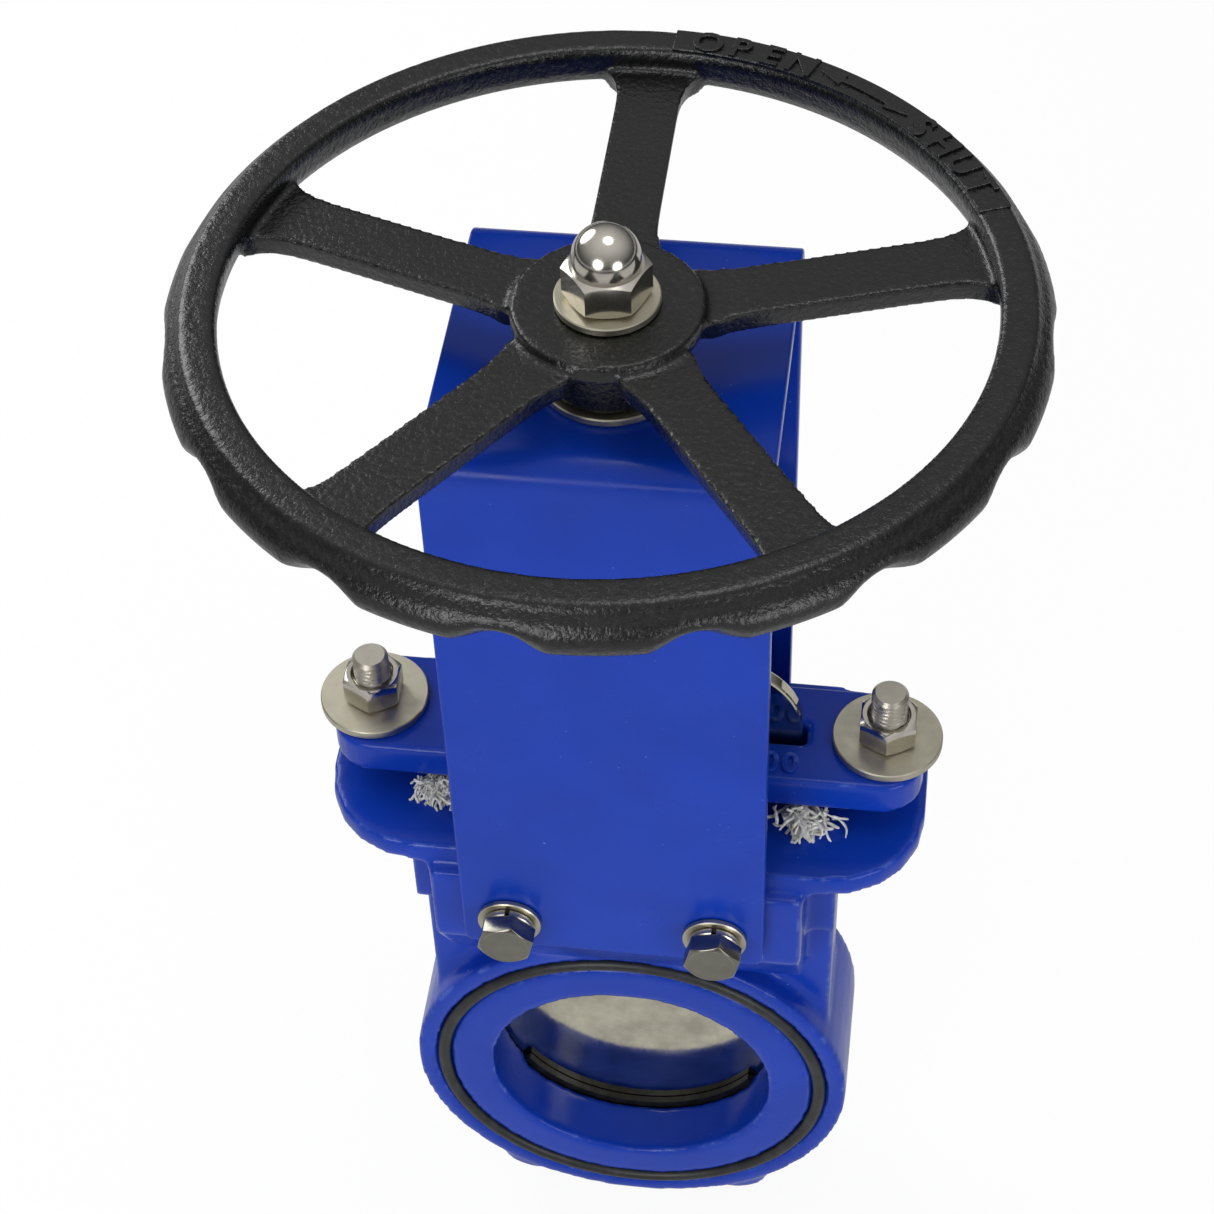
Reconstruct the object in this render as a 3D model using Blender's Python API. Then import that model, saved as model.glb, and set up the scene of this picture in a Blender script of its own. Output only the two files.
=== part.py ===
"""Wafer knife gate valve for a 100 mm pipe, with a bent-plate yoke and a handwheel.

The bore runs along Y and the stem stands along Z.  The origin is the centre of
the bore, on the middle plane of the gate.  The gate is drawn shut.  The stem
turns without rising: a brass nut on the gate climbs it.  Units are metres.
"""
import math

import bmesh
import bpy

# ---- driving dimensions -------------------------------------------------
FIT_GAP = 0.0003            # clearance between pieces that touch

BORE_RADIUS = 0.051
FACE_RADIUS = 0.0795        # raised pipe face
FACE_TO_FACE = 0.052
FACE_SEAL_RADIUS = 0.0697   # middle of the round cord in each pipe face
FACE_SEAL_CORD = 0.0050
FACE_SEAL_PROUD = 0.0010
LUG_RADIUS = 0.0135         # two cast lugs at the bottom of the ring
LUG_OFFSET = 0.0385
LUG_DROP = 0.0625
LUG_SETBACK = 0.0025

GATE_THICKNESS = 0.005
GATE_OVERLAP = 0.0065       # how far the gate's edge reaches past the bore
GATE_CORNER = 0.028
GATE_PROUD = 0.033          # height of the shut gate above the gland

SEAT_LIP = 0.0018           # how far the seat shows inside the bore
SEAT_HALF_WIDTH = 0.0052
SEAT_BACKING = 0.0033
SEAT_HALF_ANGLE = math.radians(58)

PACKING_SECTION = 0.0075
PACKING_RINGS = 4
PACKING_HEIGHT = 0.009
PACKING_PROUD = 0.003
BOX_WALL = 0.0064
CHEST_WALL = 0.0135         # chest wall either side of the gate's slot
BONNET_HALF_DEPTH = 0.028
BONNET_BOTTOM = 0.104

PAD_HALF_WIDTH = 0.062
PAD_STAND = 0.0045          # the yoke's pads stand this far past the flange
PAD_BOTTOM = 0.110
PAD_ROOT = 0.074

FLANGE_UNDERSIDE = 0.143
FLANGE_THICKNESS = 0.009
FLANGE_HALF_DEPTH = 0.042
FLANGE_CORNER = 0.032
FLANGE_EDGE = 0.0143        # flange beyond the stud's centre
BOSS_RADIUS = 0.0125
BOSS_HEIGHT = 0.007

GLAND_THICKNESS = 0.0128
GLAND_HALF_DEPTH = 0.0205
GLAND_CORNER = 0.014
GLAND_EDGE = 0.0125
GLAND_NOSE = 0.0075
GLAND_NOSE_WALL = 0.0042
GLAND_SLOT_GAP = 0.0015

STUD_RADIUS = 0.006
STUD_SPACE = 0.0132         # from the packing box's outer wall to the stud
STUD_PROUD = (0.0085, 0.0105)
STUD_NUT_FLATS = 0.018
STUD_NUT_HEIGHT = 0.010
STUD_WASHER_RADIUS = 0.018
STUD_WASHER_THICKNESS = 0.003

YOKE_WIDTH = 0.100
YOKE_PLATE = 0.006
YOKE_BEND = 0.009           # outer radius of the two bends
YOKE_FOOT = 0.117           # lower edge of the legs
YOKE_HEADROOM = 0.0200
YOKE_BOLT_OFFSET = 0.034
YOKE_BOLT_RISE = 0.014
YOKE_BOLT_RADIUS = 0.005
YOKE_BOLT_FLATS = 0.017
YOKE_BOLT_HEAD = 0.0064
YOKE_BOLT_GRIP = 0.026
YOKE_WASHER_RADIUS = 0.0105
YOKE_WASHER_THICKNESS = 0.002
SPRING_WASHER_RADIUS = 0.0086
SPRING_WASHER_THICKNESS = 0.0024

STEM_OFFSET = 0.014         # stem's axis in front of the gate
STEM_RADIUS = 0.008
STEM_BELOW_NUT = 0.002
COLLAR_RADIUS = 0.014
COLLAR_HEIGHT = 0.006
BUSH_WALL = 0.0045
BUSH_FLANGE = 0.0035
BUSH_FLANGE_HEIGHT = 0.003
THREAD_END_STEP = 0.001     # taken off the screw's radius at its ends
KEY_WIDTH = 0.005
KEY_DEPTH = 0.0025          # depth of the keyway in the stem and in the hub
KEY_LENGTH = 0.018

STEM_NUT_HALF_WIDTH = 0.030
STEM_NUT_HEIGHT = 0.026
STEM_NUT_WALL = 0.010       # brass in front of the stem
NUT_SCREW_OFFSET = 0.021
NUT_SCREW_RADIUS = 0.004
NUT_SCREW_FLATS = 0.013
NUT_SCREW_HEAD = 0.0053
NUT_SCREW_NUT = 0.0065
NUT_SCREW_PROUD = 0.003

THRUST_WASHER_RADIUS = 0.0205
THRUST_WASHER_THICKNESS = 0.0025
WHEEL_RADIUS = 0.124
RIM_WIDTH = 0.0165
RIM_HEIGHT = 0.0165
RIM_LIFT = 0.0050           # rim's top above the hub's top
HUB_RADIUS = 0.0272
HUB_DISC = 0.0055
HUB_HEIGHT = 0.0258
BARREL_RADIUS = 0.017
SPOKES = 5
SPOKE_WIDTH = 0.0200
SPOKE_HEIGHT = 0.0085
SPOKE_DROP = 0.0015         # spoke's top below the hub's top
WHEEL_WASHER_RADIUS = 0.015
WHEEL_WASHER_THICKNESS = 0.0025
CAP_NUT_FLATS = 0.022
CAP_NUT_HEX = 0.011
CAP_DOME_RADIUS = 0.0098
CAP_NUT_WALL = 0.0035

# ---- sizes that follow from them ----------------------------------------
face_y = FACE_TO_FACE / 2
gate_half_width = BORE_RADIUS + GATE_OVERLAP
gate_travel = 2 * BORE_RADIUS + GATE_OVERLAP
slot_half_width = gate_half_width + 2 * FIT_GAP
slot_half_depth = GATE_THICKNESS / 2 + FIT_GAP
chest_half_width = slot_half_width + CHEST_WALL
seat_inner = BORE_RADIUS - SEAT_LIP
seat_outer = gate_half_width + FIT_GAP + SEAT_BACKING

packing_half_width = gate_half_width + FIT_GAP + PACKING_SECTION
packing_half_depth = slot_half_depth + PACKING_SECTION
box_half_width = packing_half_width + FIT_GAP
box_half_depth = packing_half_depth + FIT_GAP
bonnet_half_width = box_half_width + BOX_WALL
stud_x = bonnet_half_width + STUD_SPACE
flange_half_length = stud_x + FLANGE_EDGE
pad_half_depth = FLANGE_HALF_DEPTH + PAD_STAND
thread_end_radius = STEM_RADIUS - THREAD_END_STEP
flange_top = FLANGE_UNDERSIDE + FLANGE_THICKNESS
packing_pitch = PACKING_HEIGHT + FIT_GAP
packing_top = flange_top + PACKING_PROUD
box_floor = packing_top - PACKING_RINGS * packing_pitch

gland_bottom = packing_top + GLAND_NOSE
gland_top = gland_bottom + GLAND_THICKNESS
gland_half_length = stud_x + GLAND_EDGE
stud_washer_z = gland_top + FIT_GAP
stud_nut_z = stud_washer_z + STUD_WASHER_THICKNESS + FIT_GAP

gate_top = gland_top + GATE_PROUD
gate_face_y = -GATE_THICKNESS / 2
stem_y = -STEM_OFFSET
stem_nut_bottom = gate_top - STEM_NUT_HEIGHT + 0.001
stem_nut_back = gate_face_y - FIT_GAP
stem_nut_front = stem_y - STEM_RADIUS - STEM_NUT_WALL
nut_screw_z = stem_nut_bottom + STEM_NUT_HEIGHT / 2

yoke_inner_top = gate_top + gate_travel + YOKE_HEADROOM
yoke_top = yoke_inner_top + YOKE_PLATE
yoke_inner_y = pad_half_depth + FIT_GAP
yoke_outer_y = yoke_inner_y + YOKE_PLATE
yoke_bolt_z = YOKE_FOOT + YOKE_BOLT_RISE

bush_radius = STEM_RADIUS + FIT_GAP + BUSH_WALL
bush_flange_top = yoke_inner_top - FIT_GAP
collar_top = bush_flange_top - BUSH_FLANGE_HEIGHT - FIT_GAP
thrust_washer_z = yoke_top + FIT_GAP
hub_bottom = thrust_washer_z + THRUST_WASHER_THICKNESS + FIT_GAP
hub_top = hub_bottom + HUB_HEIGHT
rim_top = hub_top + RIM_LIFT
wheel_washer_z = hub_top + FIT_GAP
cap_nut_z = wheel_washer_z + WHEEL_WASHER_THICKNESS + FIT_GAP
key_z = hub_bottom + 0.003


# ---- materials ----------------------------------------------------------
def material(name, colour, roughness, metallic=0.0):
    """A plain finish: colour, roughness and metallic value."""
    finish = bpy.data.materials.new(name)
    finish.use_nodes = True
    shader = finish.node_tree.nodes["Principled BSDF"]
    shader.inputs["Base Color"].default_value = (*colour, 1.0)
    shader.inputs["Roughness"].default_value = roughness
    shader.inputs["Metallic"].default_value = metallic
    return finish


def make_materials():
    return {
        "blue_paint": material("blue_paint", (0.012, 0.035, 0.40), 0.25),
        "black_iron": material("black_iron", (0.010, 0.010, 0.011), 0.45),
        "stainless": material("stainless", (0.62, 0.59, 0.54), 0.25, 1.0),
        "gate_steel": material("gate_steel", (0.60, 0.58, 0.54), 0.35, 1.0),
        "brass": material("brass", (0.70, 0.48, 0.20), 0.30, 1.0),
        "rubber": material("rubber", (0.012, 0.012, 0.012), 0.55),
        "packing": material("packing", (0.75, 0.74, 0.70), 0.90),
    }


# ---- mesh helpers -------------------------------------------------------
def add_object(name, bm, finish, location=(0, 0, 0), parent=None):
    """Turn a bmesh into a smooth-shaded object at a place in the world."""
    bmesh.ops.remove_doubles(bm, verts=bm.verts, dist=1e-7)
    bmesh.ops.recalc_face_normals(bm, faces=bm.faces)
    mesh = bpy.data.meshes.new(name)
    bm.to_mesh(mesh)
    bm.free()
    mesh.shade_smooth()
    mesh.set_sharp_from_angle(angle=math.radians(35))
    mesh.materials.append(finish)
    item = bpy.data.objects.new(name, mesh)
    bpy.context.scene.collection.objects.link(item)
    item.location = location
    if parent is not None:
        item.parent = parent
        item.location = [a - b for a, b in zip(location, parent.location)]
    return item


def prism(outline, low, high, along="Z"):
    """Extrude an outline: (x, y) along Z, or (x, z) along Y, or (y, z) along X."""
    def point(u, v, level):
        return {"Z": (u, v, level), "Y": (u, level, v), "X": (level, u, v)}[along]

    bm = bmesh.new()
    face = bm.faces.new([bm.verts.new(point(u, v, low)) for u, v in outline])
    grown = bmesh.ops.extrude_face_region(bm, geom=[face])["geom"]
    top = [item for item in grown if isinstance(item, bmesh.types.BMVert)]
    shift = [b - a for a, b in zip(point(0, 0, low), point(0, 0, high))]
    bmesh.ops.translate(bm, verts=top, vec=shift)
    return bm


def turn(profile, steps, axis="Z", closed=False):
    """Spin a profile of (radius, height) points about Z or about Y."""
    bm = bmesh.new()
    verts = [bm.verts.new((r, 0, h) if axis == "Z" else (r, h, 0)) for r, h in profile]
    edges = [bm.edges.new(pair) for pair in zip(verts, verts[1:])]
    if closed:
        edges.append(bm.edges.new((verts[-1], verts[0])))
    direction = (0, 0, 1) if axis == "Z" else (0, 1, 0)
    bmesh.ops.spin(bm, geom=verts + edges, cent=(0, 0, 0), axis=direction,
                   angle=2 * math.pi, steps=steps, use_merge=True)
    return bm


def rod(radius, low, high, steps=24, axis="Z"):
    return turn([(0, low), (radius, low), (radius, high), (0, high)], steps, axis)


def ring(inner, outer, low, high, steps=24, axis="Z"):
    return turn([(inner, low), (outer, low), (outer, high), (inner, high)],
                steps, axis, closed=True)


def rounded(half_x, half_y, corner, steps=5):
    """A rectangle outline with round corners, counter-clockwise."""
    points = []
    for quarter, (sx, sy) in enumerate(((1, 1), (-1, 1), (-1, -1), (1, -1))):
        for step in range(steps + 1):
            turned = math.radians(90 * (quarter + step / steps))
            points.append((sx * (half_x - corner) + corner * math.cos(turned),
                           sy * (half_y - corner) + corner * math.sin(turned)))
    return points


def box_outline(half_x, half_y):
    return [(half_x, half_y), (-half_x, half_y), (-half_x, -half_y), (half_x, -half_y)]


def hexagon(flats):
    corner = flats / math.sqrt(3)
    return [(corner * math.cos(math.radians(60 * k)), corner * math.sin(math.radians(60 * k)))
            for k in range(6)]


def boolean(target, bm, operation, location=(0, 0, 0)):
    """Join a hidden shape to a piece, or cut it out, with a live Boolean."""
    guide = add_object(f"{target.name}_shape_{len(target.modifiers)}", bm,
                       target.data.materials[0], location, target.parent)
    guide.display_type = "WIRE"
    guide.hide_render = True
    step = target.modifiers.new(f"{operation.lower()}_{len(target.modifiers)}", "BOOLEAN")
    step.operation = operation
    step.solver = target.get("solver", "EXACT")
    step.object = guide


def cut(target, bm, location=(0, 0, 0)):
    boolean(target, bm, "DIFFERENCE", location)


def join(target, bm, location=(0, 0, 0)):
    boolean(target, bm, "UNION", location)


# ---- body and its seals -------------------------------------------------
def gate_outline(half_width, bottom_radius, top, corner, steps=20):
    """A gate seen from the front: half-round foot, straight sides, round top corners."""
    points = []
    for step in range(steps + 1):
        angle = math.pi + math.pi * step / steps
        points.append((half_width * math.cos(angle), bottom_radius * math.sin(angle)))
    for centre, start in ((half_width - corner, 0), (corner - half_width, 90)):
        for step in range(6):
            angle = math.radians(start + 90 * step / 5)
            points.append((centre + corner * math.cos(angle),
                           top - corner + corner * math.sin(angle)))
    return points


def seat_arc(inner, outer, half_angle, steps=20):
    """A sector of a ring around the bottom of the bore, in X and Z."""
    angles = [-math.pi / 2 - half_angle + 2 * half_angle * k / steps for k in range(steps + 1)]
    outside = [(outer * math.cos(a), outer * math.sin(a)) for a in angles]
    inside = [(inner * math.cos(a), inner * math.sin(a)) for a in reversed(angles)]
    return outside + inside


def make_valve_body(finish):
    body = add_object("valve_body", rod(FACE_RADIUS, -face_y, face_y, 64, "Y"), finish)
    body["solver"] = "MANIFOLD"     # EXACT leaves the many-sided pipe faces open
    chest_half_depth = slot_half_depth + CHEST_WALL
    join(body, prism(box_outline(chest_half_width, chest_half_depth), 0.0, BONNET_BOTTOM + 0.004))
    join(body, prism(box_outline(bonnet_half_width, BONNET_HALF_DEPTH),
                     BONNET_BOTTOM, FLANGE_UNDERSIDE + 0.002))
    pad_root_y = face_y - FIT_GAP
    pad_side = [(-pad_half_depth, PAD_BOTTOM), (-pad_root_y, PAD_ROOT), (pad_root_y, PAD_ROOT),
                (pad_half_depth, PAD_BOTTOM), (pad_half_depth, FLANGE_UNDERSIDE + 0.001),
                (-pad_half_depth, FLANGE_UNDERSIDE + 0.001)]
    join(body, prism(pad_side, -PAD_HALF_WIDTH, PAD_HALF_WIDTH, "X"))
    join(body, prism(rounded(flange_half_length, FLANGE_HALF_DEPTH, FLANGE_CORNER),
                     FLANGE_UNDERSIDE, flange_top))
    for side in (-1, 1):
        join(body, rod(BOSS_RADIUS, FLANGE_UNDERSIDE - BOSS_HEIGHT, FLANGE_UNDERSIDE + 0.003, 20),
             (side * stud_x, 0, 0))
        join(body, rod(LUG_RADIUS, LUG_SETBACK - face_y, face_y - LUG_SETBACK, 24, "Y"),
             (side * LUG_OFFSET, 0, -LUG_DROP))
    cut(body, rod(BORE_RADIUS, -face_y - 0.01, face_y + 0.01, 64, "Y"))
    cut(body, prism(gate_outline(slot_half_width, slot_half_width, flange_top + 0.05, 0.005),
                    -slot_half_depth, slot_half_depth, "Y"))
    cut(body, prism(seat_arc(BORE_RADIUS - 0.002, seat_outer + FIT_GAP,
                             SEAT_HALF_ANGLE + math.radians(0.4)),
                    -SEAT_HALF_WIDTH - FIT_GAP, SEAT_HALF_WIDTH + FIT_GAP, "Y"))
    cut(body, prism(rounded(box_half_width, box_half_depth, 0.003, 3),
                    box_floor - FIT_GAP, flange_top + 0.01))
    groove_depth = FACE_SEAL_CORD - FACE_SEAL_PROUD + FIT_GAP
    groove_half = FACE_SEAL_CORD / 2 + FIT_GAP
    for side in (-1, 1):
        ends = sorted((side * (face_y - groove_depth), side * (face_y + 0.01)))
        cut(body, ring(FACE_SEAL_RADIUS - groove_half, FACE_SEAL_RADIUS + groove_half,
                       *ends, 64, "Y"))
        cut(body, rod(STUD_RADIUS + FIT_GAP, FLANGE_UNDERSIDE - BOSS_HEIGHT - 0.01,
                      flange_top + 0.01, 20), (side * stud_x, 0, 0))
        for face in (-1, 1):
            tip = yoke_outer_y - YOKE_BOLT_GRIP - 0.002
            ends = sorted((face * tip, face * (pad_half_depth + 0.01)))
            cut(body, rod(YOKE_BOLT_RADIUS + FIT_GAP, *ends, 16, "Y"),
                (side * YOKE_BOLT_OFFSET, 0, yoke_bolt_z))


def make_seat_seal(finish):
    """A rubber channel round the bottom of the bore, which the gate's edge beds in."""
    seat = add_object("seat_seal", prism(seat_arc(seat_inner, seat_outer, SEAT_HALF_ANGLE),
                                         -SEAT_HALF_WIDTH, SEAT_HALF_WIDTH, "Y"), finish)
    cut(seat, rod(gate_half_width + FIT_GAP, -slot_half_depth, slot_half_depth, 80, "Y"))


def make_face_seals(finish):
    radius = FACE_SEAL_CORD / 2
    section = [(FACE_SEAL_RADIUS + radius * math.cos(math.radians(45 * k)),
                radius * math.sin(math.radians(45 * k))) for k in range(8)]
    for name, side in (("face_seal_front", -1), ("face_seal_rear", 1)):
        centre = side * (face_y + FACE_SEAL_PROUD - radius)
        add_object(name, turn(section, 48, "Y", closed=True), finish, (0, centre, 0))


def make_packing(finish):
    for number in range(PACKING_RINGS):
        low = box_floor + number * packing_pitch
        packing = add_object(f"packing_ring_{number + 1}",
                             prism(rounded(packing_half_width, packing_half_depth, 0.003, 3),
                                   0, PACKING_HEIGHT), finish, (0, 0, low))
        cut(packing, prism(box_outline(gate_half_width + FIT_GAP, slot_half_depth),
                           -0.01, PACKING_HEIGHT + 0.01), (0, 0, low))


# ---- gland and its studs ------------------------------------------------
def make_gland(finish):
    gland = add_object("gland", prism(rounded(gland_half_length, GLAND_HALF_DEPTH, GLAND_CORNER),
                                      0, GLAND_THICKNESS), finish, (0, 0, gland_bottom))
    slot_x = gate_half_width + GLAND_SLOT_GAP
    slot_y = slot_half_depth + GLAND_SLOT_GAP
    join(gland, prism(rounded(slot_x + GLAND_NOSE_WALL, slot_y + GLAND_NOSE_WALL, 0.003, 3),
                      FIT_GAP - GLAND_NOSE, 0.002), (0, 0, gland_bottom))
    cut(gland, prism(box_outline(slot_x, slot_y), -0.02, GLAND_THICKNESS + 0.01),
        (0, 0, gland_bottom))
    for side in (-1, 1):
        cut(gland, rod(STUD_RADIUS + 2 * FIT_GAP, -0.01, GLAND_THICKNESS + 0.01, 20),
            (side * stud_x, 0, gland_bottom))


def make_gland_fasteners(finish):
    for name, side, proud in (("left", -1, STUD_PROUD[0]), ("right", 1, STUD_PROUD[1])):
        x = side * stud_x
        foot = FLANGE_UNDERSIDE - BOSS_HEIGHT
        stud_top = stud_nut_z + STUD_NUT_HEIGHT + proud
        add_object(f"gland_stud_{name}", rod(STUD_RADIUS, 0, stud_top - foot, 20),
                   finish, (x, 0, foot))
        add_object(f"gland_washer_{name}",
                   ring(STUD_RADIUS + 2 * FIT_GAP, STUD_WASHER_RADIUS, 0,
                        STUD_WASHER_THICKNESS, 40),
                   finish, (x, 0, stud_washer_z))
        nut = add_object(f"gland_nut_{name}", prism(hexagon(STUD_NUT_FLATS), 0, STUD_NUT_HEIGHT),
                         finish, (x, 0, stud_nut_z))
        nut.rotation_euler.z = math.radians(30)
        cut(nut, rod(STUD_RADIUS + FIT_GAP, -0.01, STUD_NUT_HEIGHT + 0.01, 20), (x, 0, stud_nut_z))


# ---- yoke and its bolts -------------------------------------------------
def yoke_outline(half_depth, top, bend, foot, steps=6):
    """An upside-down U seen from the side, from its left foot to its right foot."""
    points = [(-half_depth, foot)]
    for centre, start in ((bend - half_depth, 180), (half_depth - bend, 90)):
        for step in range(steps + 1):
            angle = math.radians(start - 90 * step / steps)
            points.append((centre + bend * math.cos(angle), top - bend + bend * math.sin(angle)))
    points.append((half_depth, foot))
    return points


def make_yoke(finish):
    outside = yoke_outline(yoke_outer_y, yoke_top, YOKE_BEND, YOKE_FOOT)
    inside = yoke_outline(yoke_inner_y, yoke_inner_top, YOKE_BEND - YOKE_PLATE, YOKE_FOOT)
    outline = list(reversed(outside)) + inside
    yoke = add_object("yoke", prism(outline, -YOKE_WIDTH / 2, YOKE_WIDTH / 2, "X"), finish)
    cut(yoke, rod(bush_radius + FIT_GAP, yoke_inner_top - 0.01, yoke_top + 0.01, 32),
        (0, stem_y, 0))
    for side in (-1, 1):
        reach = yoke_outer_y + 0.01
        cut(yoke, rod(YOKE_BOLT_RADIUS + FIT_GAP, -reach, reach, 16, "Y"),
            (side * YOKE_BOLT_OFFSET, 0, yoke_bolt_z))


def make_yoke_bolts(finish):
    """Hexagon bolt, flat washer and split washer, four of each."""
    washer_y = yoke_outer_y + FIT_GAP
    spring_y = washer_y + YOKE_WASHER_THICKNESS + FIT_GAP
    head_y = spring_y + SPRING_WASHER_THICKNESS + FIT_GAP
    tip_y = yoke_outer_y - YOKE_BOLT_GRIP
    hole = YOKE_BOLT_RADIUS + FIT_GAP
    for where, face in (("front", -1), ("rear", 1)):
        for hand, side in (("left", -1), ("right", 1)):
            place = (side * YOKE_BOLT_OFFSET, 0, yoke_bolt_z)
            ends = sorted((face * head_y, face * (head_y + YOKE_BOLT_HEAD)))
            bolt = add_object(f"yoke_bolt_{where}_{hand}",
                              prism(hexagon(YOKE_BOLT_FLATS), *ends, "Y"), finish, place)
            ends = sorted((face * tip_y, face * (head_y + 0.002)))
            join(bolt, rod(YOKE_BOLT_RADIUS, *ends, 16, "Y"), place)
            ends = sorted((face * washer_y, face * (washer_y + YOKE_WASHER_THICKNESS)))
            add_object(f"yoke_washer_{where}_{hand}",
                       ring(hole, YOKE_WASHER_RADIUS, *ends, 32, "Y"), finish, place)
            ends = sorted((face * spring_y, face * (spring_y + SPRING_WASHER_THICKNESS)))
            split = add_object(f"yoke_spring_washer_{where}_{hand}",
                               ring(hole, SPRING_WASHER_RADIUS, *ends, 24, "Y"), finish, place)
            gap = box_outline(0.0006, SPRING_WASHER_RADIUS)
            cut(split, prism([(x, z + SPRING_WASHER_RADIUS) for x, z in gap],
                             min(ends) - 0.001, max(ends) + 0.001, "Y"), place)


# ---- stem, bush and handwheel -------------------------------------------
def make_bush_and_thrust_washer(brass, stainless):
    profile = [(STEM_RADIUS + FIT_GAP, collar_top + FIT_GAP),
               (bush_radius + BUSH_FLANGE, collar_top + FIT_GAP),
               (bush_radius + BUSH_FLANGE, bush_flange_top), (bush_radius, bush_flange_top),
               (bush_radius, yoke_top), (STEM_RADIUS + FIT_GAP, yoke_top)]
    add_object("stem_bush", turn(profile, 32, closed=True), brass, (0, stem_y, 0))
    add_object("thrust_washer",
               ring(STEM_RADIUS + 2 * FIT_GAP, THRUST_WASHER_RADIUS, 0,
                    THRUST_WASHER_THICKNESS, 40),
               stainless, (0, stem_y, thrust_washer_z))


def make_stem(finish, axis):
    """Screw and journal in one piece, with the collar that carries the thrust."""
    foot = stem_nut_bottom - STEM_BELOW_NUT
    collar_low = collar_top - COLLAR_HEIGHT
    shoulder = hub_top - 0.001
    tip = cap_nut_z + CAP_NUT_HEX
    profile = [(0, foot), (STEM_RADIUS - 0.001, foot), (STEM_RADIUS, foot + 0.001),
               (STEM_RADIUS, collar_low), (COLLAR_RADIUS, collar_low),
               (COLLAR_RADIUS, collar_top), (STEM_RADIUS, collar_top), (STEM_RADIUS, shoulder),
               (thread_end_radius, shoulder), (thread_end_radius, tip), (0, tip)]
    stem = add_object("stem", turn(profile, 24), finish, (0, stem_y, 0), axis)
    slot = box_outline(KEY_WIDTH / 2 + FIT_GAP, KEY_DEPTH + FIT_GAP)
    cut(stem, prism([(x, y + STEM_RADIUS) for x, y in slot], key_z - FIT_GAP,
                    key_z + KEY_LENGTH + FIT_GAP), (0, stem_y, 0))


def make_key(finish, axis):
    outline = box_outline(KEY_WIDTH / 2, KEY_DEPTH - FIT_GAP)
    add_object("wheel_key", prism([(x, y + STEM_RADIUS) for x, y in outline], 0, KEY_LENGTH),
               finish, (0, stem_y, key_z), axis)


def make_handwheel(finish, axis):
    """Five flat spokes between a barrel hub and a rim with a flat crown."""
    hub_profile = [(0, hub_bottom), (BARREL_RADIUS, hub_bottom),
                   (BARREL_RADIUS, hub_top - HUB_DISC - 0.004),
                   (HUB_RADIUS - 0.003, hub_top - HUB_DISC),
                   (HUB_RADIUS, hub_top - HUB_DISC), (HUB_RADIUS, hub_top), (0, hub_top)]
    wheel = add_object("handwheel", turn(hub_profile, 40), finish, (0, stem_y, 0), axis)
    outer = WHEEL_RADIUS
    inner = WHEEL_RADIUS - RIM_WIDTH
    low = rim_top - RIM_HEIGHT
    rim = [(inner, rim_top), (outer - 0.006, rim_top), (outer - 0.002, rim_top - 0.004),
           (outer, rim_top - 0.009), (outer - 0.002, low + 0.002), (outer - 0.006, low),
           (inner + 0.003, low), (inner - 0.0005, rim_top - 0.009)]
    join(wheel, turn(rim, 64, closed=True), (0, stem_y, 0))
    spoke_top = hub_top - SPOKE_DROP
    for number in range(SPOKES):
        spoke = prism(box_outline((inner + 0.004) / 2, SPOKE_WIDTH / 2),
                      spoke_top - SPOKE_HEIGHT, spoke_top)
        edges = [e for e in spoke.edges if abs(e.verts[0].co.x - e.verts[1].co.x) > 0.01]
        bmesh.ops.bevel(spoke, geom=edges, offset=0.0015, segments=1, affect="EDGES")
        bmesh.ops.translate(spoke, verts=spoke.verts, vec=((inner + 0.004) / 2, 0, 0))
        angle = math.radians(90 + 360 * number / SPOKES)
        for vert in spoke.verts:
            x, y, z = vert.co
            vert.co = (x * math.cos(angle) - y * math.sin(angle),
                       x * math.sin(angle) + y * math.cos(angle), z)
        join(wheel, spoke, (0, stem_y, 0))
    cut(wheel, rod(STEM_RADIUS + FIT_GAP, hub_bottom - 0.01, hub_top + 0.01, 24), (0, stem_y, 0))
    slot = box_outline(KEY_WIDTH / 2 + FIT_GAP, KEY_DEPTH + FIT_GAP)
    cut(wheel, prism([(x, y + STEM_RADIUS) for x, y in slot], hub_bottom - 0.01, hub_top + 0.01),
        (0, stem_y, 0))


def make_wheel_fasteners(finish, axis):
    add_object("wheel_washer",
               ring(thread_end_radius + FIT_GAP, WHEEL_WASHER_RADIUS, 0,
                    WHEEL_WASHER_THICKNESS, 36),
               finish, (0, stem_y, wheel_washer_z), axis)
    nut = add_object("cap_nut", prism(hexagon(CAP_NUT_FLATS), 0, CAP_NUT_HEX), finish,
                     (0, stem_y, cap_nut_z), axis)
    dome = [(0, CAP_NUT_HEX - 0.002), (CAP_DOME_RADIUS, CAP_NUT_HEX - 0.002),
            (CAP_DOME_RADIUS, CAP_NUT_HEX + 0.002)]
    for step in range(1, 6):
        angle = math.radians(90 * step / 5)
        dome.append((CAP_DOME_RADIUS * math.cos(angle) if step < 5 else 0,
                     CAP_NUT_HEX + 0.002 + CAP_DOME_RADIUS * math.sin(angle)))
    join(nut, turn(dome, 28), (0, stem_y, cap_nut_z))
    cut(nut, rod(thread_end_radius + FIT_GAP, -0.01, CAP_NUT_HEX + FIT_GAP, 20),
        (0, stem_y, cap_nut_z))


# ---- gate and its nut ---------------------------------------------------
def make_gate(finish, slide):
    gate = add_object("gate", prism(gate_outline(gate_half_width, gate_half_width, gate_top,
                                                 GATE_CORNER, 28),
                                    -GATE_THICKNESS / 2, GATE_THICKNESS / 2, "Y"),
                      finish, (0, 0, 0), slide)
    for side in (-1, 1):
        cut(gate, rod(NUT_SCREW_RADIUS + FIT_GAP, -0.02, 0.02, 16, "Y"),
            (side * NUT_SCREW_OFFSET, 0, nut_screw_z))


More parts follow.
